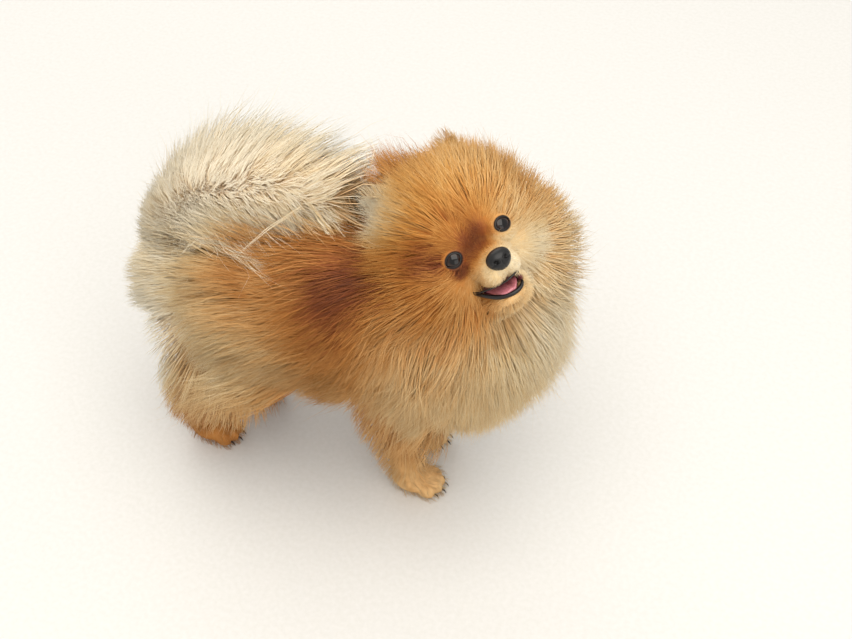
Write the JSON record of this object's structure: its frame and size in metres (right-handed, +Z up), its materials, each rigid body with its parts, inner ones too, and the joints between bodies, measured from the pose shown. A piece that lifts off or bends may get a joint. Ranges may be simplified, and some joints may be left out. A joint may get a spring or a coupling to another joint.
{
  "type": "standing pomeranian dog, still model",
  "caption": "Life-size still model of a standing long-coated toy spitz, head turned to its right and raised, mouth open, plumed tail over its back.",
  "frame": {"origin": "On the floor, under the middle of the model's whole box", "axes": "+X is the way the body faces, from rump to chest; +Y is the dog's left; +Z is up. The head is turned to the dog's right and raised."},
  "size_m": [0.358, 0.1842, 0.317],
  "materials": {
    "coat_head": "dense short to medium fur, orange",
    "coat_ruff": "long standing guard hair over undercoat, sand to orange",
    "coat_body": "long guard hair, rust at the saddle to sand at the rump",
    "coat_tail": "long soft plume hair, cream",
    "coat_leg": "short fur with feathering, orange to cream at the paws",
    "coat_ear": "velvety short fur",
    "coat_muzzle": "very short pale fur with dark lips",
    "nose_leather": "moist pebbled black skin",
    "eye": "wet dark brown cornea",
    "tongue": "moist pink"
  },
  "bodies": {
    "root": {"ear_left": "coat_ear", "ear_right": "coat_ear", "eye_left": "eye", "eye_right": "eye", "foreleg_left": "coat_leg", "foreleg_right": "coat_leg", "head": "coat_head", "hindleg_left": "coat_leg", "hindleg_right": "coat_leg", "lower_jaw": "coat_muzzle", "neck": "coat_ruff", "nose": "nose_leather", "tail": "coat_tail", "tongue": "tongue", "torso": "coat_body"}
  },
  "joints": []
}
